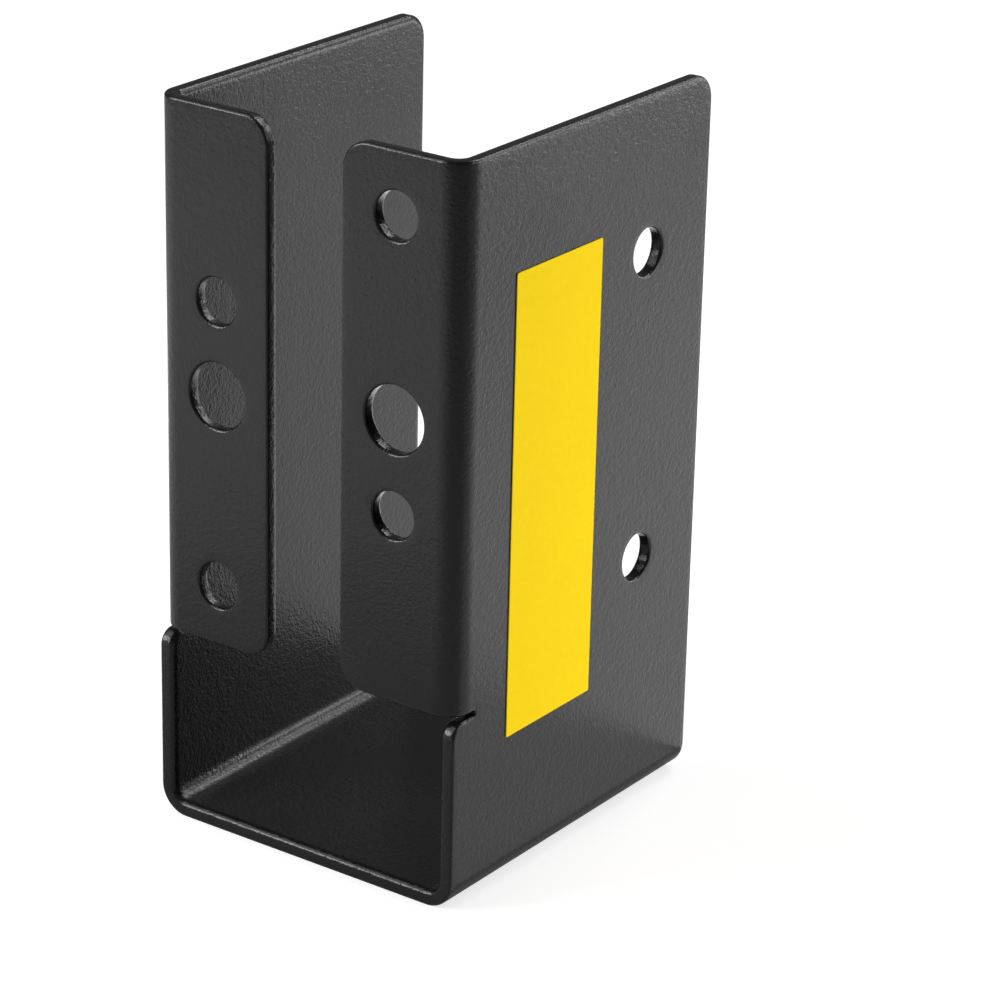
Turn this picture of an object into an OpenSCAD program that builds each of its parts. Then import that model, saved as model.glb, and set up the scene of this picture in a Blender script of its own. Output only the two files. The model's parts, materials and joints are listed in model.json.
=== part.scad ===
// Concealed joist hanger, folded from one piece of sheet steel and powder coated black.
// The seat carries the joist, the side walls clamp its cheeks, and the two header flanges
// turn inwards, so that the end of the joist hides them and their fasteners.
// X runs across the joist, Y from the header face (-Y) to the open back, Z up from the seat.

/* [Overall] */
// Outside width across the two side walls
width = 45.5; // [43:0.5:110]
// Depth from the header face to the open back edge
depth = 51; // [46:1:90]
// Height from the underside of the seat to the top edge
height = 94; // [88:1:240]

/* [Sheet] */
// Thickness of the coated sheet
sheet_t = 2; // [1.5:0.1:3]
// Inside radius of the two seat bends
seat_bend_r = 1.8; // [1:0.1:3]
// Inside radius of the two flange bends
flange_bend_r = 1.2; // [0.6:0.1:2.4]
// Radius to which the coating rounds the rims of every cut edge and hole
rim_r = 0.35; // [0.1:0.05:0.5]

/* [Header flanges] */
// Clear gap between the free edges of the two flanges
flange_gap = 11; // [6:0.5:14]
// Radius of the free corners of each flange
flange_corner_r = 3.5; // [1:0.5:5]

/* [Walls and relief slots] */
// Height of the short front wall under each flange
lip_h = 24.8; // [12:0.2:26]
// Radius of the top front corner of each short wall
lip_corner_r = 2; // [0.75:0.25:3]
// Height of the relief slot that parts each flange from the wall under it
slot_h = 0.7; // [0.6:0.1:2]
// Length by which the slot's straight sides run back past the flange bend
slot_past = 0.8; // [0.2:0.1:4]
// Radius of the top back corner of each wall
wall_corner_r = 3.5; // [1:0.5:8]

/* [Holes] */
// Diameter of the screw holes
screw_hole_d = 6; // [4:0.1:7]
// Diameter of the bolt hole in each flange
bolt_hole_d = 8.5; // [6:0.1:10]
// Distance of the flange holes from the flange's free edge
flange_hole_edge = 7.8; // [6.5:0.1:8]
// Height of each flange's bolt hole off the flange's middle, down on the left, up on the right
bolt_hole_shift = 1.7; // [0:0.1:3]
// Pitch from the bolt hole to the near screw hole
near_pitch = 12; // [10:0.5:16]
// Pitch from the bolt hole to the far screw hole
far_pitch = 24.7; // [12:0.1:26]
// Distance of the wall holes from the open back edge
wall_hole_edge = 12.9; // [8:0.1:19]
// Height of the lower wall hole above the underside of the seat
wall_hole_z = 34.2; // [14:0.2:36]
// Pitch between the two holes of each wall
wall_hole_pitch = 40; // [16:1:48]

/* [Label] */
// Width of the blank label on the right wall
label_w = 17.4; // [8:0.2:18]
// Height of the blank label
label_h = 59; // [30:0.2:62]
// Thickness of the label
label_t = 0.15; // [0.1:0.01:0.3]
// Distance of the label's front edge from the header face
label_front = 10.6; // [6:0.2:11]
// Height of the label's lower edge above the underside of the seat
label_z = 19.6; // [8:0.2:24]

/* [Hidden] */

steel_colour = [0.17, 0.17, 0.175];
label_colour = [1.0, 0.83, 0.0];
$fn = 96;
// How far a cut reaches into the clear
over = 0.25;

front = -depth / 2;
back = depth / 2;
seat_out_r = seat_bend_r + sheet_t;
flange_out_r = flange_bend_r + sheet_t;
slot_r = slot_h / 2;
slot_straight = flange_out_r + slot_past;
flange_z = lip_h + slot_h;
flange_mid = (flange_z + height) / 2;
flange_hole_x = flange_gap / 2 + flange_hole_edge;
wall_hole_y = back - wall_hole_edge;
seat_run = width / 2 - seat_out_r;
flange_run = width / 2 - flange_out_r - flange_gap / 2 - flange_corner_r;

// The sheet has one cut edge. These are the stretches of its right half, from the middle of the
// seat's back edge, up the wall, round the flange and the slot, to the middle of the seat's front.
cut_edge = [
    ["run", seat_run],
    ["fold", seat_bend_r],
    ["run", height - seat_out_r - wall_corner_r],
    ["corner", wall_corner_r],
    ["run", depth - wall_corner_r - flange_out_r],
    ["fold", flange_bend_r],
    ["run", flange_run],
    ["corner", flange_corner_r],
    ["run", height - flange_z - 2 * flange_corner_r],
    ["corner", flange_corner_r],
    ["run", flange_run],
    ["fold", flange_bend_r],
    ["run", slot_past],
    ["slot_end", slot_r],
    ["run", slot_straight - lip_corner_r],
    ["corner", lip_corner_r],
    ["run", lip_h - lip_corner_r - seat_out_r],
    ["fold", seat_bend_r],
    ["run", seat_run],
];

// Place and heading at the middle of the seat's back edge: the walk along the cut edge heads
// along its own Z, with the sheet on its -X side and the inside of the folds on its +Y side
edge_start = [
    [0, 0, 1, 0],
    [1, 0, 0, back],
    [0, 1, 0, sheet_t / 2],
    [0, 0, 0, 1],
];

// Move along Z, straight on
function run_on(length) = [
    [1, 0, 0, 0],
    [0, 1, 0, 0],
    [0, 0, 1, length],
    [0, 0, 0, 1],
];

// Quarter turn towards the sheet, round a corner of radius r
function corner_on(r) = [
    [0, 0, -1, -r],
    [0, 1, 0, 0],
    [1, 0, 0, r],
    [0, 0, 0, 1],
];

// Half turn away from the sheet, round the end of a slot of radius r
function slot_end_on(r) = [
    [-1, 0, 0, 2 * r],
    [0, 1, 0, 0],
    [0, 0, -1, 0],
    [0, 0, 0, 1],
];

// Quarter turn with the sheet, through a fold whose middle layer has radius r
function fold_on(r) = [
    [1, 0, 0, 0],
    [0, 0, 1, r],
    [0, -1, 0, r],
    [0, 0, 0, 1],
];

// Place and heading after a stretch that starts at the given ones
function after(at, stretch) =
    let (size = stretch[1])
    stretch[0] == "run" ? at * run_on(size)
    : stretch[0] == "corner" ? at * corner_on(size)
    : stretch[0] == "slot_end" ? at * slot_end_on(size)
    : at * fold_on(size + sheet_t / 2);

// Place and heading at the start of each stretch
function edge_places(at, i = 0) =
    i == len(cut_edge) ? [] : concat([at], edge_places(after(at, cut_edge[i]), i + 1));

// What a rounded corner takes away, for a corner at the origin whose material lies in -X, -Y
module corner_waste(r) {
    difference() {
        translate([-r, -r]) square(r + over);
        translate([-r, -r]) circle(r);
    }
}

// The rounded underside corner of the right seat bend, drawn in X and Z
module seat_corner_waste() {
    translate([width / 2, 0])
        mirror([0, 1])
            corner_waste(seat_out_r);
}

// Section across the channel: flat seat, two bends and two upright walls, drawn in X and Z
module channel_section() {
    inner_w = width - 2 * sheet_t;
    difference() {
        translate([-width / 2, 0]) square([width, height]);
        translate([-inner_w / 2, sheet_t + seat_bend_r]) square([inner_w, height]);
        translate([seat_bend_r - inner_w / 2, sheet_t])
            square([inner_w - 2 * seat_bend_r, seat_bend_r + over]);
        for (side = [-1, 1])
            translate([side * (inner_w / 2 - seat_bend_r), sheet_t + seat_bend_r])
                circle(seat_bend_r);
        seat_corner_waste();
        mirror([1, 0]) seat_corner_waste();
    }
}

// What is punched from the blank's edge beside each wall, drawn in Y and Z
module wall_waste() {
    translate([front - over, flange_z])
        square([flange_out_r + over, height + over]);
    translate([front - over, lip_h])
        square([slot_straight + over, slot_h]);
    translate([front + slot_straight, lip_h + slot_r])
        circle(slot_r);
    translate([front, lip_h])
        mirror([1, 0])
            corner_waste(lip_corner_r);
    translate([back, height])
        corner_waste(wall_corner_r);
}

// Seat and walls, with the relief slots and rounded corners cut through both walls
module channel() {
    difference() {
        translate([0, back, 0])
            rotate([90, 0, 0])
                linear_extrude(depth)
                    channel_section();
        translate([-width / 2 - over, 0, 0])
            rotate([90, 0, 90])
                linear_extrude(width + 2 * over)
                    wall_waste();
    }
}

// Flat of the right flange, drawn in X and Z, from its free edge to the bend
module flange_outline() {
    difference() {
        translate([flange_gap / 2, flange_z])
            square([flange_corner_r + flange_run, height - flange_z]);
        translate([flange_gap / 2, height])
            mirror([1, 0])
                corner_waste(flange_corner_r);
        translate([flange_gap / 2, flange_z])
            mirror([1, 0])
                mirror([0, 1])
                    corner_waste(flange_corner_r);
    }
}

// Right flange with the bend that joins it to the wall
module flange() {
    translate([0, front + sheet_t, 0])
        rotate([90, 0, 0])
            linear_extrude(sheet_t)
                flange_outline();
    translate([width / 2 - flange_out_r, front + flange_out_r, flange_z])
        rotate([0, 0, -90])
            rotate_extrude(angle = 90)
                translate([flange_bend_r, 0])
                    square([sheet_t, height - flange_z]);
}

// What the two rounded rims take off a cut edge, for sheet in -X with its middle layer at Y = 0
module rim_waste() {
    for (face = [0, 1])
        mirror([0, face])
            translate([0, sheet_t / 2])
                corner_waste(rim_r);
}

// The same round a hole, drawn as radius and height
module hole_rim_waste(r) {
    translate([r, 0])
        mirror([1, 0])
            rim_waste();
}

// What the rims take off one stretch of the cut edge, which starts at the origin and heads along Z
module stretch_waste(kind, size) {
    fold_r = size + sheet_t / 2;
    if (kind == "run")
        linear_extrude(size)
            rim_waste();
    if (kind == "corner")
        translate([-size, 0, 0])
            rotate([90, 0, 0])
                rotate_extrude(angle = 90)
                    translate([size, 0])
                        rim_waste();
    if (kind == "slot_end")
        translate([size, 0, 0])
            rotate([90, 0, 0])
                mirror([1, 0, 0])
                    rotate_extrude(angle = 180)
                        hole_rim_waste(size);
    if (kind == "fold")
        translate([0, fold_r, 0])
            rotate([90, 0, 0])
                rotate([0, -90, 0])
                    rotate_extrude(angle = 90)
                        translate([fold_r, 0])
                            rotate(-90)
                                rim_waste();
}

// What the rims take off the whole right half of the cut edge
module cut_edge_waste() {
    places = edge_places(edge_start);
    for (i = [0 : len(cut_edge) - 1])
        multmatrix(places[i])
            stretch_waste(cut_edge[i][0], cut_edge[i][1]);
}

// Punch of a round hole with rounded rims, through sheet whose middle layer lies at Z = 0
module hole_waste(d) {
    punch_t = sheet_t + 2 * over;
    rotate_extrude() {
        translate([0, -punch_t / 2]) square([d / 2, punch_t]);
        hole_rim_waste(d / 2);
    }
}

// Holes of one flange: the left one is the right one turned half a turn about the middle
module flange_holes(side) {
    bolt_z = flange_mid + side * bolt_hole_shift;
    holes = [
        [bolt_z, bolt_hole_d],
        [bolt_z - side * near_pitch, screw_hole_d],
        [bolt_z + side * far_pitch, screw_hole_d],
    ];
    for (hole = holes)
        translate([side * flange_hole_x, front + sheet_t / 2, hole[0]])
            rotate([90, 0, 0])
                hole_waste(hole[1]);
}

// Holes of the right wall for the joist's own screws
module wall_holes() {
    for (level = [0, 1])
        translate([(width - sheet_t) / 2, wall_hole_y, wall_hole_z + level * wall_hole_pitch])
            rotate([0, 90, 0])
                hole_waste(screw_hole_d);
}

// The whole folded sheet
module hanger() {
    color(steel_colour)
        difference() {
            union() {
                channel();
                flange();
                mirror([1, 0, 0]) flange();
            }
            flange_holes(-1);
            flange_holes(1);
            wall_holes();
            mirror([1, 0, 0]) wall_holes();
            cut_edge_waste();
            mirror([1, 0, 0]) cut_edge_waste();
        }
}

// Blank rectangular label stuck on the outer face of the right wall
module label() {
    color(label_colour)
        translate([width / 2, front + label_front, label_z])
            cube([label_t, label_w, label_h]);
}

hanger();
label();
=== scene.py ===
"""Concealed joist hanger: a punched and folded steel sheet with a black powder coat,
a bare yellow film label, and a plain studio stage round it."""

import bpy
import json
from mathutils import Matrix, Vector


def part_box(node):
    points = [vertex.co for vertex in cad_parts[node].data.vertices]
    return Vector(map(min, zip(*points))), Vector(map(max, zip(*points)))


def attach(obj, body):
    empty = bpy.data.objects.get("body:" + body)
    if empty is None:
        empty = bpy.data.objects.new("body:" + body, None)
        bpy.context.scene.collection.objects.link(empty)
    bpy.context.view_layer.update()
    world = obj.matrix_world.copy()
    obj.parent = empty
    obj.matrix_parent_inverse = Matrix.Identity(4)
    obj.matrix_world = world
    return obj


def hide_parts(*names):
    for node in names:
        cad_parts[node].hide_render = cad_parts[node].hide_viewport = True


bl_info = {
    "name": "Concealed joist hanger",
    "version": (1, 0, 0),
    "blender": (4, 5, 0),
    "location": "3D View > Sidebar > Joist hanger",
    "description": "Folds the hanger from a punched blank, labels it and sets the stage",
    "category": "Add Mesh",
}

import json
import math
from types import SimpleNamespace

import bmesh
import bpy
from bpy.props import (
    FloatProperty,
    FloatVectorProperty,
    IntProperty,
    PointerProperty,
)
from mathutils import Matrix, Vector
from mathutils.geometry import delaunay_2d_cdt

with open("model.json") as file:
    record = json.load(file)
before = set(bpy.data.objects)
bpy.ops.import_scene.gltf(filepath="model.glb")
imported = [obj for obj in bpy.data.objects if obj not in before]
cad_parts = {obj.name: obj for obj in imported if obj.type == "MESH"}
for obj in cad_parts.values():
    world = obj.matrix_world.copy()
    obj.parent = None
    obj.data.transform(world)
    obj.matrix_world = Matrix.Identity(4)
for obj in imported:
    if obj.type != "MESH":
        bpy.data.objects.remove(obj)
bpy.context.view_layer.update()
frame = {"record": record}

MM = 0.001
WHITE = (1.0, 1.0, 1.0, 1.0)

# Points along the round parts of a cut edge, and faces round its rims
CORNER_STEPS = 12
SLOT_END_STEPS = 16
HOLE_STEPS = 72
SHEET_RIM_STEPS = 6
FILM_RIM_STEPS = 3
# The rims of the film, as a share of its thickness
FILM_RIM = 0.4
# In millimetres: the flat strip beside each fold, and how near the ends of a crease lie to it
FOLD_MARGIN = 0.3
CREASE_REACH = 1e-4
# The triangulation fills the hull of all its points, and takes points this near as one
WHOLE_HULL = 0
SAME_POINT = 1e-6
# A sheet that has folded without fault has more faces than this
LEAST_FACES = 1000

# The detail of each noise, and the noise values that are taken as the ends of its range
WAVE_DETAIL = 1.5
FINE_DETAIL = 1.0
DRIFT_DETAIL = 2.0
DRIFT_ENDS = (0.3, 0.7)
SPECKLE_ENDS = (0.35, 0.7)
SPECKLE_MIDDLE = 0.4
# The slow drift over a finish: its scale, and how far it takes the roughness up and down
DRIFT_SCALE = 60.0
DRIFT_ROUGHNESS = 0.03
# The fine grain: its scale and the depth of its pimples against the grain size, and its part
# in the tone and the roughness
FINE_SCALE = 0.6
PIMPLE_DEPTH = 0.5
SPECKLE_TONE = 1.5
SPECKLE_ROUGHNESS = 0.05

FLOOR_REACH = 3.0
FLOOR_ROUGHNESS = 0.9
FLOOR_SPECULAR = 0.1
CARD_LIFT = 2 * MM
# Where each soft lamp hangs, and its two sides, in metres
SOFT_LAMPS = {
    "wall_lamp": ((0.95, 0.35, 0.35), (0.6, 0.6)),
    "side_lamp": ((0.28, 0.36, 0.07), (0.3, 0.12)),
    "rim_lamp": ((0.27, 0.53, 0.33), (0.3, 0.3)),
    "rim_strip": ((0.25, 0.52, 0.4), (0.26, 0.1)),
    "back_lamp": ((0.05, 0.45, 0.6), (0.3, 0.22)),
    "front_lamp": ((-0.30, -0.34, 0.2), (0.24, 0.2)),
    "top_lamp": ((-0.30, -0.22, 0.5), (0.3, 0.3)),
}
PHOTO_PIXELS = 1000
SENSOR_MM = 36.0
CAMERA_CLIP = (0.01, 20.0)


def node_size(node):
    """Extents of a CAD node in millimetres."""
    low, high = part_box(node)
    return tuple((b - a) / MM for a, b in zip(low, high))


def mount(name):
    """Place in millimetres and sizes of one of the record's mounts."""
    found = next(m for m in frame["record"]["mounts"] if m["name"] == name)
    return [c / MM for c in found["pos_m"]], found["dims"]


def length(name, description, millimetres, high=500.0):
    return FloatProperty(
        name=name,
        description=description,
        default=millimetres * MM,
        min=0.0,
        max=high * MM,
        precision=5,
        unit="LENGTH",
        subtype="DISTANCE",
    )


def angle(name, description, degrees, low=-180.0, high=180.0):
    return FloatProperty(
        name=name,
        description=description,
        default=math.radians(degrees),
        min=math.radians(low),
        max=math.radians(high),
        unit="ROTATION",
        subtype="ANGLE",
    )


def share(name, description, value, high=1.0):
    return FloatProperty(name=name, description=description, default=value, min=0.0, max=high)


def watts(name, lamp, value):
    return share(name, f"Watts of the {lamp}", value, high=50.0)


def colour(name, description, value):
    return FloatVectorProperty(
        name=name,
        description=description,
        default=value,
        min=0.0,
        max=1.0,
        size=3,
        subtype="COLOR",
    )


class SheetSizes(bpy.types.PropertyGroup):
    """Sizes of the folded sheet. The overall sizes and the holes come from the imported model."""

    width: length("Width", "Outside width across the walls", node_size("hanger")[0])
    depth: length("Depth", "Header face to open back edge", node_size("hanger")[1])
    height: length("Height", "Underside of the seat to the top edge", node_size("hanger")[2])
    thickness: length("Thickness", "Coated sheet", 2.0)
    seat_bend: length("Seat bend", "Inside radius of the two seat bends", 1.8)
    flange_bend: length("Flange bend", "Inside radius of the two flange bends", 1.2)
    rim: length("Rim", "Radius of the cut edges' outer rims", 0.35)
    roll_depth: length("Roll depth", "How far the punch rolls the inner rims down", 0.65)
    roll_width: length("Roll width", "How far the rolled inner rims reach into the sheet", 1.0)
    flange_gap: length("Flange gap", "Clear gap between the two flanges", 11.0)
    flange_corner: length("Flange corner", "Radius of the flanges' free corners", 3.5)
    lip: length("Lip height", "Height of the short front walls", 24.8)
    lip_corner: length("Lip corner", "Radius of the short walls' top corners", 2.0)
    slot: length("Slot height", "Height of the two relief slots", 0.7)
    slot_past: length("Slot run", "Straight run of the slot past the flange bend", 0.8)
    wall_corner: length("Wall corner", "Radius of the walls' top back corners", 3.5)
    fold_angle: angle(
        "Fold angle", "Angle of all four folds; at zero the sheet is the flat blank",
        90.0, low=0.0, high=90.0,
    )
    fold_steps: IntProperty(
        name="Fold steps", description="Faces across each fold", default=14, min=4, max=48
    )


class CoatLook(bpy.types.PropertyGroup):
    """Colour and surface of the powder coat."""

    colour: colour("Colour", "Colour of the powder coat", (0.007, 0.007, 0.0072))
    tones: share("Tones", "How far the colour drifts over the coat", 0.10)
    roughness: share("Roughness", "Mean roughness of the satin surface", 0.225)
    specular: share("Specular", "Specular level of the coat", 0.3)
    wave: length("Orange peel", "Size of the soft waves in the coat", 0.7)
    grain: length("Grain", "Size of the fine grain in the coat", 0.26)
    grain_share: share("Grain share", "Height of the grain against that of the waves", 0.8)
    relief: length("Relief", "Height of the waves and grain together", 0.042)


class FilmLook(bpy.types.PropertyGroup):
    """Corners, colour and surface of the label film."""

    corner: length("Corner", "Radius of the label's corners", 0.25)
    colour: colour("Colour", "Colour of the film", (0.98, 0.69, 0.005))
    tones: share("Tones", "How far the colour drifts over the film", 0.015)
    roughness: share("Roughness", "Roughness of the film", 0.6)
    specular: share("Specular", "Specular level of the film", 0.03)
    wave: length("Waves", "Size of the soft waves that the coat lends the film", 1.1)
    grain: length("Grain", "Size of the grain that the coat lends the film", 0.4)
    grain_share: share("Grain share", "Height of the grain against that of the waves", 0.3)
    relief: length("Relief", "Height of the unevenness that the coat lends the film", 0.008)


class StageLook(bpy.types.PropertyGroup):
    """Floor, lamps and camera."""

    floor: colour("Floor", "Colour of the floor", (0.5, 0.5, 0.5))
    floor_lift: share("Floor lift", "Light that the floor adds for the camera", 0.69)
    floor_mirror: share("Floor mirror", "Light that the floor adds for reflections", 0.10)
    air_mirror: share("Air mirror", "Strength of the air for reflections", 0.135)
    air: share("Air", "Strength of the even light from all round", 0.05, high=2.0)
    wall_lamp: watts("Wall lamp", "broad lamp far out on the right", 3.8)
    side_lamp: watts("Side lamp", "low lamp behind on the right", 0.66)
    rim_lamp: watts("Rim lamp", "broad lamp that catches the rims", 0.55)
    rim_strip: watts("Rim strip", "strip that draws a line on the rims", 0.5)
    back_lamp: watts("Back lamp", "high lamp behind", 1.75)
    front_lamp: watts("Front lamp", "low lamp in front on the left", 2.1)
    top_lamp: watts("Top lamp", "high lamp in front on the left", 0.8)
    back_card: watts("Back card", "lamp that lies behind the hanger", 0.27)
    side_card: watts("Side card", "lamp that lies on its right", 0.0115)
    front_card: watts("Front card", "lamp that lies in front on the left", 0.11)
    card_width: length("Card width", "Width of the back and front cards", 340.0, high=2000.0)
    card_depth: length("Card depth", "Depth of the back and front cards", 220.0, high=2000.0)
    side_reach: length("Side reach", "Reach of the back and side cards to the right", 140.0)
    card_gap: length("Card gap", "Clear floor round the back and side cards", 1.0)
    front_card_gap: length("Front card gap", "Clear floor up to the front card", 70.0)
    turn: angle("Turn", "How far the camera stands round towards the right wall", 35.353)
    pitch: angle("Pitch", "How far the camera looks down", 22.076)
    roll: angle("Roll", "How far the camera is tipped about its view", 1.359)
    distance: length("Distance", "Camera to its target", 471.34, high=5000.0)
    aside: length("Aside", "Target to the right of the hanger's middle", 8.63)
    aim: length("Aim", "Height of the target", 40.24)
    focal_pixels: FloatProperty(
        name="Focal length",
        description="Focal length of the camera in pixels of a picture 1000 pixels wide",
        default=3776.4,
        min=100.0,
        max=20000.0,
    )


def feed(tree, socket, value):
    """Links a socket to another socket's value, or sets it."""
    if isinstance(value, bpy.types.NodeSocket):
        tree.links.new(value, socket)
    else:
        socket.default_value = value


def maths(tree, operation, *values):
    """The result of a sum on sockets and numbers."""
    node = tree.nodes.new("ShaderNodeMath")
    node.operation = operation
    for socket, value in zip(node.inputs, values):
        feed(tree, socket, value)
    return node.outputs[0]


def add_node(tree, kind, settings=(), **values):
    """A node with its settings, and its inputs fed by name."""
    node = tree.nodes.new(kind)
    for key, value in dict(settings).items():
        setattr(node, key, value)
    for key, value in values.items():
        feed(tree, node.inputs[key.replace("_", " ")], value)
    return node


def add_sockets(tree, way, kind, *names):
    """Inputs or outputs of one kind on the outside of a node group."""
    return [
        tree.interface.new_socket(name, in_out=way, socket_type=f"NodeSocket{kind}")
        for name in names
    ]


def fold_group():
    """One fold: the sheet past the fold line turns towards its upper side, its middle layer
    keeps its length, and what lies past the bend goes straight on."""
    tree = bpy.data.node_groups.new("fold", "GeometryNodeTree")
    add_sockets(
        tree, "INPUT", "Float", "Run", "Lift", "Fold line", "Middle radius", "Fold angle"
    )
    add_sockets(tree, "OUTPUT", "Float", "Run", "Lift")
    given = tree.nodes.new("NodeGroupInput").outputs
    line, radius, turn = given["Fold line"], given["Middle radius"], given["Fold angle"]
    past = maths(tree, "SUBTRACT", given["Run"], line)
    turned = maths(tree, "MAXIMUM", maths(tree, "DIVIDE", past, radius), 0.0)
    turned = maths(tree, "MINIMUM", turned, turn)
    bend = maths(tree, "MULTIPLY", radius, turn)
    straight = maths(tree, "MAXIMUM", maths(tree, "SUBTRACT", past, bend), 0.0)
    short = maths(tree, "MINIMUM", past, 0.0)
    arm = maths(tree, "SUBTRACT", radius, given["Lift"])
    run = maths(tree, "ADD", line, short)
    run = maths(tree, "MULTIPLY_ADD", arm, maths(tree, "SINE", turned), run)
    run = maths(tree, "MULTIPLY_ADD", straight, maths(tree, "COSINE", turn), run)
    drop = maths(tree, "MULTIPLY", arm, maths(tree, "COSINE", turned))
    lift = maths(tree, "SUBTRACT", radius, drop)
    lift = maths(tree, "MULTIPLY_ADD", straight, maths(tree, "SINE", turn), lift)
    add_node(tree, "NodeGroupOutput", Run=run, Lift=lift)
    return tree


def folding_tree():
    """Folds the flat blank: first the two flanges, then the two walls up from the seat."""
    tree = bpy.data.node_groups.new("fold_the_blank", "GeometryNodeTree")
    tree.is_modifier = True
    add_sockets(tree, "INPUT", "Geometry", "Blank")
    for socket in add_sockets(
        tree, "INPUT", "Float", "Sheet thickness", "Seat fold line", "Seat middle radius",
        "Flange fold line", "Flange middle radius", "Slot line",
    ):
        socket.subtype = "DISTANCE"
    add_sockets(tree, "INPUT", "Float", "Fold angle")[0].subtype = "ANGLE"
    add_sockets(tree, "INPUT", "Material", "Coat")
    add_sockets(tree, "OUTPUT", "Geometry", "Folded sheet")

    given = tree.nodes.new("NodeGroupInput").outputs
    flat = tree.nodes.new("GeometryNodeInputPosition").outputs[0]
    across, along, lift = add_node(tree, "ShaderNodeSeparateXYZ", Vector=flat).outputs
    side = maths(tree, "SIGN", across)
    out_run = maths(tree, "ABSOLUTE", across)
    forward = maths(tree, "MULTIPLY", along, -1.0)

    fold = fold_group()
    flange = add_node(
        tree, "GeometryNodeGroup", {"node_tree": fold}, Run=forward, Lift=lift,
        Fold_line=given["Flange fold line"], Middle_radius=given["Flange middle radius"],
        Fold_angle=given["Fold angle"],
    ).outputs
    above_slot = maths(tree, "GREATER_THAN", out_run, given["Slot line"])
    chosen = []
    for plain, folded in ((forward, flange["Run"]), (lift, flange["Lift"])):
        mix = tree.nodes.new("ShaderNodeMix")
        mix.data_type = "FLOAT"
        tree.links.new(above_slot, mix.inputs[0])
        tree.links.new(plain, mix.inputs[2])
        tree.links.new(folded, mix.inputs[3])
        chosen.append(mix.outputs[0])
    seat = add_node(
        tree, "GeometryNodeGroup", {"node_tree": fold}, Run=out_run, Lift=chosen[1],
        Fold_line=given["Seat fold line"], Middle_radius=given["Seat middle radius"],
        Fold_angle=given["Fold angle"],
    ).outputs

    half = maths(tree, "DIVIDE", given["Sheet thickness"], 2.0)
    place = add_node(
        tree,
        "ShaderNodeCombineXYZ",
        X=maths(tree, "MULTIPLY", seat["Run"], side),
        Y=maths(tree, "MULTIPLY", chosen[0], -1.0),
        Z=maths(tree, "ADD", seat["Lift"], half),
    ).outputs[0]
    sheet = given["Blank"]
    for kind, values in (
        ("GeometryNodeSetPosition", {"Position": place}),
        ("GeometryNodeSetShadeSmooth", {}),
        ("GeometryNodeRealizeInstances", {}),
        ("GeometryNodeSetMaterial", {"Material": given["Coat"]}),
    ):
        sheet = add_node(tree, kind, Geometry=sheet, **values).outputs[0]
    add_node(tree, "NodeGroupOutput", Folded_sheet=sheet)
    return tree


def rim_profile(thickness, upper_rim, lower_rim, margin, steps):
    """Inset and height of each ring from the upper face, round both rims, to the lower face.
    A rim is given by its width and its depth."""
    turns = [math.pi / 2 * k / steps for k in range(steps + 1)]
    flat = max(upper_rim[0], lower_rim[0]) + margin
    half = thickness / 2

    def quarter(rim, turn):
        return rim[0] * (1 - math.sin(turn)), half - rim[1] * (1 - math.cos(turn))

    upper = [quarter(upper_rim, turn) for turn in turns]
    lower = [quarter(lower_rim, turn) for turn in reversed(turns)]
    return [(flat, half)] + upper + [(inset, -height) for inset, height in lower] + [(flat, -half)]


def inside(point, loop):
    """Whether a flat point lies within a closed loop of flat points."""
    x, y = point
    crossings = 0
    for (x0, y0), (x1, y1) in zip(loop, loop[1:] + loop[:1]):
        if (y0 > y) != (y1 > y) and x < x0 + (y - y0) / (y1 - y0) * (x1 - x0):
            crossings += 1
    return crossings % 2 == 1


def drawn_in(loop, inset):
    """The flat points of a loop of (point, outward normal), drawn into the sheet."""
    return [(p[0] - n[0] * inset, p[1] - n[1] * inset) for p, n in loop]


def rimmed_plate(name, loops, profile, creases=()):
    """Mesh of a flat plate, in metres, from loops of (point, outward normal) in millimetres.
    The first loop is the outline and the others are holes. Each crease is a test that picks the
    two outline points which a straight edge across the plate joins."""
    mesh = bpy.data.meshes.new(name)
    bm = bmesh.new()
    rings = [
        [
            [bm.verts.new((x * MM, y * MM, height * MM)) for x, y in drawn_in(loop, inset)]
            for loop in loops
        ]
        for inset, height in profile
    ]
    for upper, lower in zip(rings, rings[1:]):
        for a, b in zip(upper, lower):
            for i in range(len(a)):
                j = (i + 1) % len(a)
                bm.faces.new((a[i], a[j], b[j], b[i]))

    outline, *holes = [drawn_in(loop, profile[0][0]) for loop in loops]
    points, edges = [], []
    for loop in (outline, *holes):
        first = len(points)
        points += loop
        edges += [(first + i, first + (i + 1) % len(loop)) for i in range(len(loop))]
    for test in creases:
        ends = [i for i, p in enumerate(outline) if test(p)]
        if len(ends) != 2:
            raise RuntimeError(f"a crease meets the outline {len(ends)} times")
        edges.append(tuple(ends))
    verts, _, faces, originals, *_ = delaunay_2d_cdt(
        [Vector(p) for p in points], edges, [], WHOLE_HULL, SAME_POINT
    )
    top = [v for loop in rings[0] for v in loop]
    bottom = [v for loop in rings[-1] for v in loop]
    for face in faces:
        centre = sum((verts[i] for i in face), Vector((0.0, 0.0))) / len(face)
        if not inside(centre, outline) or any(inside(centre, hole) for hole in holes):
            continue
        ids = [originals[i][0] for i in face]
        bm.faces.new([top[i] for i in ids])
        bm.faces.new([bottom[i] for i in reversed(ids)])
    bmesh.ops.recalc_face_normals(bm, faces=bm.faces)
    for face in bm.faces:
        face.smooth = True
    bm.to_mesh(mesh)
    bm.free()
    return mesh


def turned_by(vector, turn):
    """A flat vector turned to the left by an angle."""
    c, s = math.cos(turn), math.sin(turn)
    return Vector((vector.x * c - vector.y * s, vector.x * s + vector.y * c))


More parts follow.
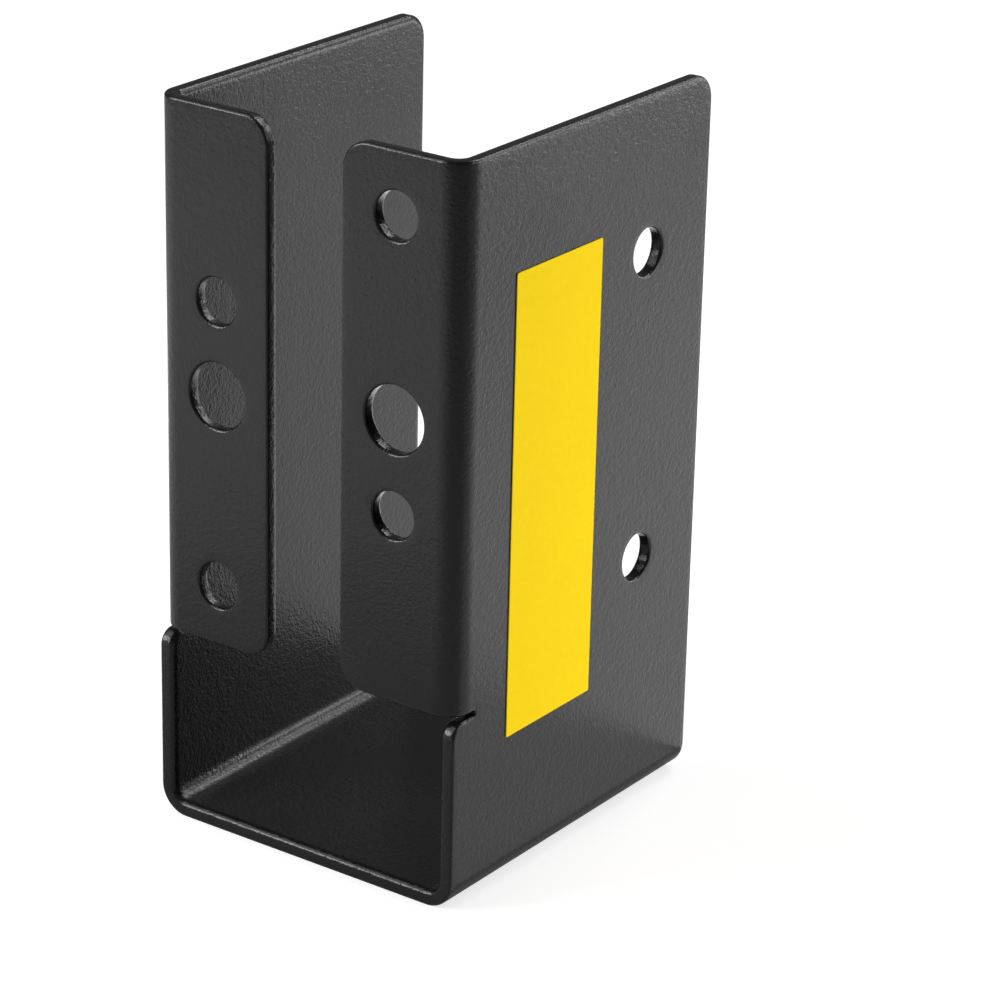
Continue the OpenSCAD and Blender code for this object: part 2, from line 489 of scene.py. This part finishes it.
def walk(start, stretches, fold_steps=1, margin=0.0):
    """Points and outward normals along a cut edge that starts heading along +X with the sheet on
    its right. A stretch is a straight run, a fold that is crossed, a corner that turns right
    round the sheet, or the end of a slot, which turns left round the clear."""
    at, heading = Vector(start), Vector((1.0, 0.0))
    made = []
    for i, (kind, size) in enumerate(stretches):
        left = Vector((-heading.y, heading.x))
        if kind in ("run", "fold"):
            marks = [0.0]
            if kind == "fold":
                marks = [size * k / fold_steps for k in range(fold_steps)]
            else:
                if i > 0 and stretches[i - 1][0] == "fold":
                    marks.append(margin)
                if i + 1 < len(stretches) and stretches[i + 1][0] == "fold":
                    marks.append(size - margin)
            made += [(at + heading * mark, left) for mark in marks]
            at = at + heading * size
        else:
            if kind == "corner":
                turn, steps, outward = -math.pi / 2, CORNER_STEPS, 1.0
            else:
                turn, steps, outward = math.pi, SLOT_END_STEPS, -1.0
            centre = at + left * math.copysign(size, turn)
            points = [centre + turned_by(at - centre, turn * k / steps) for k in range(steps + 1)]
            made += [(p, (p - centre).normalized() * outward) for p in points[:-1]]
            at = points[-1]
            heading = turned_by(heading, turn)
    made.append((at, Vector((-heading.y, heading.x))))
    return made


def both_halves(half):
    """The closed outline of which one half was walked, from the middle line x = 0 back to it."""
    mirrored = [(Vector((-p.x, p.y)), Vector((-n.x, n.y))) for p, n in half]
    return half + mirrored[-2:0:-1]


def hole_loop(centre, radius):
    """A round hole: its normals point out of the sheet, into the hole."""
    made = []
    for k in range(HOLE_STEPS):
        turn = 2 * math.pi * k / HOLE_STEPS
        out = Vector((math.cos(turn), math.sin(turn)))
        made.append((Vector(centre) + out * radius, -out))
    return made


def punched_holes(wall_x, flange_y):
    """The loops of every hole, at the record's mounts. wall_x takes a height to its place along
    the flat blank, and flange_y takes an x on a flange to its place across the blank."""
    holes = []
    bolts, bolt_sizes = mount("header_bolts")
    for name, side in (("right_flange_screws", 1), ("left_flange_screws", -1)):
        place, dims = mount(name)
        x = abs(place[0])
        reach = dims["spacing_y_mm"] / 2
        for z in (place[2] - reach, place[2] + reach):
            holes.append(hole_loop((side * wall_x(z), flange_y(x)), dims["hole_r_mm"]))
        z = bolts[2] + side * math.sqrt((bolt_sizes["pcd_mm"] / 2) ** 2 - x ** 2)
        holes.append(hole_loop((side * wall_x(z), flange_y(x)), bolt_sizes["hole_r_mm"]))
    for name, side in (("right_wall_screws", 1), ("left_wall_screws", -1)):
        place, dims = mount(name)
        reach = dims["spacing_y_mm"] / 2
        for z in (place[2] - reach, place[2] + reach):
            holes.append(hole_loop((side * wall_x(z), place[1]), dims["hole_r_mm"]))
    return holes


def fold_marks(start, width, steps, margin):
    """Where straight edges cross the blank at a fold: one on either side of it, and one at each
    end of its faces. The fold of a flange runs down from its start, so its width is negative."""
    beside = math.copysign(margin, width)
    marks = [start - beside, start + width + beside]
    return marks + [start + width * k / steps for k in range(steps + 1)]


def in_millimetres(settings):
    """The lengths in a group of settings, in millimetres."""
    kinds = settings.bl_rna.properties
    return SimpleNamespace(**{
        name: getattr(settings, name) / MM
        for name in type(settings).__annotations__ if kinds[name].unit == "LENGTH"
    })


def punched_blank(sizes):
    """The flat blank as it leaves the press, and the lines that it is folded on."""
    mm = in_millimetres(sizes)
    seat_out = mm.seat_bend + mm.thickness
    flange_out = mm.flange_bend + mm.thickness
    seat_mid = mm.seat_bend + mm.thickness / 2
    flange_mid = mm.flange_bend + mm.thickness / 2
    seat_arc, flange_arc = seat_mid * math.pi / 2, flange_mid * math.pi / 2
    seat_run = mm.width / 2 - seat_out
    flange_run = mm.width / 2 - flange_out - mm.flange_gap / 2 - mm.flange_corner
    flange_start = -(mm.depth / 2 - flange_out)
    flange_z = mm.lip + mm.slot
    margin = min(FOLD_MARGIN, mm.slot_past / 2)
    steps = sizes.fold_steps

    half = walk((0.0, mm.depth / 2), [
        ("run", seat_run),
        ("fold", seat_arc),
        ("run", mm.height - seat_out - mm.wall_corner),
        ("corner", mm.wall_corner),
        ("run", mm.depth - mm.wall_corner - flange_out),
        ("fold", flange_arc),
        ("run", flange_run),
        ("corner", mm.flange_corner),
        ("run", mm.height - flange_z - 2 * mm.flange_corner),
        ("corner", mm.flange_corner),
        ("run", flange_run),
        ("fold", flange_arc),
        ("run", mm.slot_past),
        ("slot end", mm.slot / 2),
        ("run", flange_out + mm.slot_past - mm.lip_corner),
        ("corner", mm.lip_corner),
        ("run", mm.lip - mm.lip_corner - seat_out),
        ("fold", seat_arc),
        ("run", seat_run),
    ], steps, margin)

    def wall_x(z):
        return seat_run + seat_arc + z - seat_out

    def flange_y(x):
        return flange_start - flange_arc - (mm.width / 2 - flange_out - x)

    def on_flange(point, side):
        return side * point[0] > wall_x(flange_z)

    creases = []
    for side in (1, -1):
        for mark in fold_marks(seat_run, seat_arc, steps, margin):
            creases.append(lambda p, x=side * mark: abs(p[0] - x) < CREASE_REACH)
        for mark in fold_marks(flange_start, -flange_arc, steps, margin):
            creases.append(
                lambda p, y=mark, s=side: abs(p[1] - y) < CREASE_REACH and on_flange(p, s)
            )
    profile = rim_profile(
        mm.thickness, (mm.roll_width, mm.roll_depth), (mm.rim, mm.rim), margin, SHEET_RIM_STEPS
    )
    loops = [both_halves(half)] + punched_holes(wall_x, flange_y)
    lines = {
        "Sheet thickness": sizes.thickness,
        "Seat fold line": seat_run * MM,
        "Seat middle radius": seat_mid * MM,
        "Flange fold line": -flange_start * MM,
        "Flange middle radius": flange_mid * MM,
        "Slot line": wall_x(mm.lip + mm.slot / 2) * MM,
        "Fold angle": sizes.fold_angle,
    }
    return rimmed_plate("blank", loops, profile, creases), lines


def noise(tree, where, scale, detail):
    return add_node(
        tree, "ShaderNodeTexNoise", {"noise_dimensions": "3D"},
        Vector=where, Scale=scale, Detail=detail, Roughness=0.5,
    ).outputs[0]


def spread(tree, value, ends, low=0.0, high=1.0):
    """A value between its two ends, spread to run from low to high."""
    return add_node(
        tree, "ShaderNodeMapRange", Value=value,
        From_Min=ends[0], From_Max=ends[1], To_Min=low, To_Max=high,
    ).outputs[0]


def grain_group():
    """Waves and fine grain of a thin layer, in the units of its vector, for both finishes."""
    tree = bpy.data.node_groups.new("coat_grain", "ShaderNodeTree")
    add_sockets(tree, "INPUT", "Vector", "Vector")
    add_sockets(tree, "INPUT", "Float", "Wave size", "Grain size", "Grain share")
    add_sockets(tree, "OUTPUT", "Float", "Height", "Speckle")
    given = tree.nodes.new("NodeGroupInput").outputs
    where, grain_size = given["Vector"], given["Grain size"]
    wave = noise(tree, where, maths(tree, "DIVIDE", 1.0, given["Wave size"]), WAVE_DETAIL)
    pimple = add_node(
        tree, "ShaderNodeTexVoronoi", Vector=where, Scale=maths(tree, "DIVIDE", 1.0, grain_size)
    ).outputs[0]
    fine = noise(tree, where, maths(tree, "DIVIDE", FINE_SCALE, grain_size), FINE_DETAIL)
    grain = maths(tree, "SUBTRACT", fine, maths(tree, "MULTIPLY", pimple, PIMPLE_DEPTH))
    add_node(
        tree,
        "NodeGroupOutput",
        Height=maths(tree, "MULTIPLY_ADD", grain, given["Grain share"], wave),
        Speckle=spread(tree, fine, SPECKLE_ENDS),
    )
    return tree


def finish_material(name, look):
    """A thin coat or film: its colour and roughness change a little over the surface, and waves
    and grain lift it."""
    material = bpy.data.materials.new(name)
    material.diffuse_color = (*look.colour, 1.0)
    material.use_nodes = True
    tree = material.node_tree
    tree.nodes.clear()
    where = tree.nodes.new("ShaderNodeTexCoord").outputs["Object"]
    shared = bpy.data.node_groups.get("coat_grain") or grain_group()
    layer = add_node(
        tree, "ShaderNodeGroup", {"node_tree": shared}, Vector=where,
        Wave_size=look.wave, Grain_size=look.grain, Grain_share=look.grain_share,
    ).outputs
    drift = noise(tree, where, DRIFT_SCALE, DRIFT_DETAIL)
    speckle = maths(tree, "SUBTRACT", layer["Speckle"], SPECKLE_MIDDLE)
    shade = spread(tree, drift, DRIFT_ENDS, 1.0 - look.tones, 1.0 + look.tones)
    shade = maths(tree, "MULTIPLY_ADD", speckle, look.tones * SPECKLE_TONE, shade)
    tinted = add_node(
        tree, "ShaderNodeVectorMath", {"operation": "SCALE"}, Vector=look.colour, Scale=shade
    )
    rough = spread(
        tree, drift, DRIFT_ENDS, look.roughness - DRIFT_ROUGHNESS, look.roughness + DRIFT_ROUGHNESS
    )
    rough = maths(tree, "MULTIPLY_ADD", layer["Speckle"], SPECKLE_ROUGHNESS, rough)
    bump = add_node(
        tree, "ShaderNodeBump", Strength=1.0, Distance=look.relief, Height=layer["Height"]
    )
    shader = add_node(
        tree, "ShaderNodeBsdfPrincipled", Base_Color=tinted.outputs[0], Roughness=rough,
        Normal=bump.outputs[0], Specular_IOR_Level=look.specular,
    )
    add_node(tree, "ShaderNodeOutputMaterial", Surface=shader.outputs[0])
    return material


def link(name, data):
    """An object in the scene with this data."""
    made = bpy.data.objects.new(name, data)
    bpy.context.scene.collection.objects.link(made)
    return made


def settle(piece, node):
    """The piece stands for a CAD node, whose object is hidden, and rides on the one body."""
    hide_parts(node)
    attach(piece, "root")


class FoldSheet(bpy.types.Operator):
    """Punch the blank, fold it into the hanger and coat it black"""

    bl_idname = "joist_hanger.fold_sheet"
    bl_label = "Fold the sheet"

    def execute(self, context):
        mesh, given = punched_blank(context.scene.hanger_sheet)
        given["Coat"] = finish_material("powder_coat", context.scene.hanger_coat)
        blank = link("blank", mesh)
        modifier = blank.modifiers.new("Fold", "NODES")
        modifier.node_group = folding_tree()
        for item in modifier.node_group.interface.items_tree:
            if item.in_out == "INPUT" and item.name in given:
                modifier[item.identifier] = given[item.name]
        graph = context.evaluated_depsgraph_get()
        graph.update()
        folded = bpy.data.meshes.new_from_object(blank.evaluated_get(graph), depsgraph=graph)
        blank.modifiers.remove(modifier)
        bpy.data.objects.remove(blank)
        if len(folded.polygons) < LEAST_FACES:
            raise RuntimeError("the folded sheet has lost its faces")
        folded.name = "folded_sheet"
        settle(link("folded_sheet", folded), "hanger")
        return {"FINISHED"}


class StickLabel(bpy.types.Operator):
    """Stick the bare yellow film on the outer face of the right wall"""

    bl_idname = "joist_hanger.stick_label"
    bl_label = "Stick the label on"

    def execute(self, context):
        look = context.scene.hanger_film
        low, high = (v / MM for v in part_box("label"))
        thick, across, tall = high - low
        corner, rim = look.corner / MM, thick * FILM_RIM
        half = walk((0.0, tall / 2), [
            ("run", across / 2 - corner),
            ("corner", corner),
            ("run", tall - 2 * corner),
            ("corner", corner),
            ("run", across / 2 - corner),
        ])
        profile = rim_profile(thick, (rim, rim), (rim, rim), rim, FILM_RIM_STEPS)
        mesh = rimmed_plate("label_film", [both_halves(half)], profile)
        upright = Matrix(((0, 0, 1, 0), (1, 0, 0, 0), (0, 1, 0, 0), (0, 0, 0, 1)))
        mesh.transform(Matrix.Translation((low + high) / 2 * MM) @ upright)
        mesh.materials.append(finish_material("label_film", look))
        settle(link("label_film", mesh), "label")
        return {"FINISHED"}


def light_by_ray(tree, camera, mirrored, other):
    """A strength for the camera's rays, one for those of a reflection or through glass, and one
    for all the others."""
    path = tree.nodes.new("ShaderNodeLightPath").outputs
    mirrors = maths(tree, "MAXIMUM", path["Is Glossy Ray"], path["Is Transmission Ray"])
    beyond = maths(tree, "MULTIPLY_ADD", mirrors, mirrored - other, other)
    seen = path["Is Camera Ray"]
    unseen = maths(tree, "SUBTRACT", 1.0, seen)
    return maths(tree, "MULTIPLY_ADD", seen, camera, maths(tree, "MULTIPLY", unseen, beyond))


def lay_floor(look):
    """The pale floor, which the camera sees as white apart from the hanger's shadow."""
    mesh = bpy.data.meshes.new("floor")
    bm = bmesh.new()
    bmesh.ops.create_grid(bm, x_segments=1, y_segments=1, size=FLOOR_REACH)
    bm.to_mesh(mesh)
    bm.free()
    material = bpy.data.materials.new("floor")
    material.use_nodes = True
    tree = material.node_tree
    given = tree.nodes["Principled BSDF"].inputs
    given["Base Color"].default_value = (*look.floor, 1.0)
    given["Roughness"].default_value = FLOOR_ROUGHNESS
    given["Specular IOR Level"].default_value = FLOOR_SPECULAR
    given["Emission Color"].default_value = WHITE
    added = light_by_ray(tree, look.floor_lift, look.floor_mirror, 0.0)
    tree.links.new(added, given["Emission Strength"])
    mesh.materials.append(material)
    link("floor", mesh)


def soft_lamp(name, power, place, size):
    """A broad area lamp that faces the hanger."""
    data = bpy.data.lights.new(name, "AREA")
    data.energy = power
    data.shape = "RECTANGLE"
    data.size, data.size_y = size
    lamp = link(name, data)
    lamp.location = place
    middle = Vector((0.0, 0.0, node_size("hanger")[2] / 2 * MM))
    lamp.rotation_euler = (middle - Vector(place)).to_track_quat("-Z", "Y").to_euler()
    lamp.visible_camera = False
    return lamp


def lying_lamp(name, power, place, size, turn=0.0):
    """A lamp that lies on the floor and shines up, to be seen mirrored in the upright faces."""
    lamp = soft_lamp(name, power, (*place, CARD_LIFT), size)
    lamp.rotation_euler = (math.pi, 0.0, turn)


def lay_cards(look):
    """The walls mirror the back and side cards, which meet in an L. The flanges mirror the front
    card, which lies square to the view."""
    across, along, _ = (v * MM for v in node_size("hanger"))
    wide, deep, gap = look.card_width, look.card_depth, look.card_gap
    right = across / 2 + look.side_reach
    back = (right - wide / 2, along / 2 + gap + deep / 2)
    lying_lamp("back_card", look.back_card, back, (wide, deep))
    side = look.side_reach - gap
    lying_lamp("side_card", look.side_card, (right - side / 2, 0.0), (side, along))
    heading = Vector((math.sin(look.turn), math.cos(look.turn)))
    front = -Vector((across, along)) / 2 - heading * (look.front_card_gap + deep / 2)
    lying_lamp("front_card", look.front_card, front, (wide, deep), -look.turn)


def studio_air(look):
    """White all round for the camera, with little light in it for everything else."""
    world = bpy.data.worlds.new("studio_air")
    world.use_nodes = True
    tree = world.node_tree
    given = tree.nodes["Background"].inputs
    given["Color"].default_value = WHITE
    tree.links.new(light_by_ray(tree, 1.0, look.air_mirror, look.air), given["Strength"])
    return world


def photo_camera(look):
    """The camera at the photograph's angle."""
    turn, pitch, roll = look.turn, look.pitch, look.roll
    out = Vector((
        math.sin(turn) * math.cos(pitch), -math.cos(turn) * math.cos(pitch), math.sin(pitch)
    ))
    right = (-out).cross(Vector((0.0, 0.0, 1.0))).normalized()
    up = right.cross(-out)
    target = Vector((0.0, 0.0, look.aim)) + right * look.aside
    eye = target + out * look.distance
    tipped = right * math.cos(roll) + up * math.sin(roll)
    above = up * math.cos(roll) - right * math.sin(roll)
    data = bpy.data.cameras.new("camera")
    data.sensor_width = SENSOR_MM
    data.lens = look.focal_pixels * SENSOR_MM / PHOTO_PIXELS
    data.clip_start, data.clip_end = CAMERA_CLIP
    camera = link("camera", data)
    turned = Matrix((tipped, above, out)).transposed()
    camera.matrix_world = Matrix.Translation(eye) @ turned.to_4x4()
    return camera


class SetStage(bpy.types.Operator):
    """Lay the pale floor, hang the soft lamps and stand the camera as in the photograph"""

    bl_idname = "joist_hanger.set_stage"
    bl_label = "Set the stage"

    def execute(self, context):
        scene = context.scene
        look = scene.hanger_stage
        lay_floor(look)
        for name, (place, size) in SOFT_LAMPS.items():
            soft_lamp(name, getattr(look, name), place, size)
        lay_cards(look)
        scene.world = studio_air(look)
        scene.view_settings.view_transform = "Standard"
        scene.camera = photo_camera(look)
        return {"FINISHED"}


class HangerPanel(bpy.types.Panel):
    """The hanger's sizes, finishes and stage, and the buttons that make them"""

    bl_idname = "VIEW3D_PT_joist_hanger"
    bl_label = "Joist hanger"
    bl_space_type = "VIEW_3D"
    bl_region_type = "UI"
    bl_category = "Joist hanger"

    def draw(self, context):
        for title, name, group, operator in GROUPS:
            box = self.layout.box()
            box.label(text=title)
            for setting in group.__annotations__:
                box.prop(getattr(context.scene, name), setting)
            if operator:
                box.operator(operator.bl_idname)


GROUPS = (
    ("Coat", "hanger_coat", CoatLook, None),
    ("Folded sheet", "hanger_sheet", SheetSizes, FoldSheet),
    ("Label", "hanger_film", FilmLook, StickLabel),
    ("Stage", "hanger_stage", StageLook, SetStage),
)
CLASSES = (
    SheetSizes, CoatLook, FilmLook, StageLook, FoldSheet, StickLabel, SetStage, HangerPanel
)


def register():
    for cls in CLASSES:
        bpy.utils.register_class(cls)
    for _, name, group, _ in GROUPS:
        setattr(bpy.types.Scene, name, PointerProperty(type=group))


def unregister():
    for _, name, _, _ in GROUPS:
        delattr(bpy.types.Scene, name)
    for cls in reversed(CLASSES):
        bpy.utils.unregister_class(cls)


def main():
    register()
    bpy.ops.joist_hanger.set_stage()
    bpy.ops.joist_hanger.fold_sheet()
    bpy.ops.joist_hanger.stick_label()


if __name__ == "__main__":
    main()
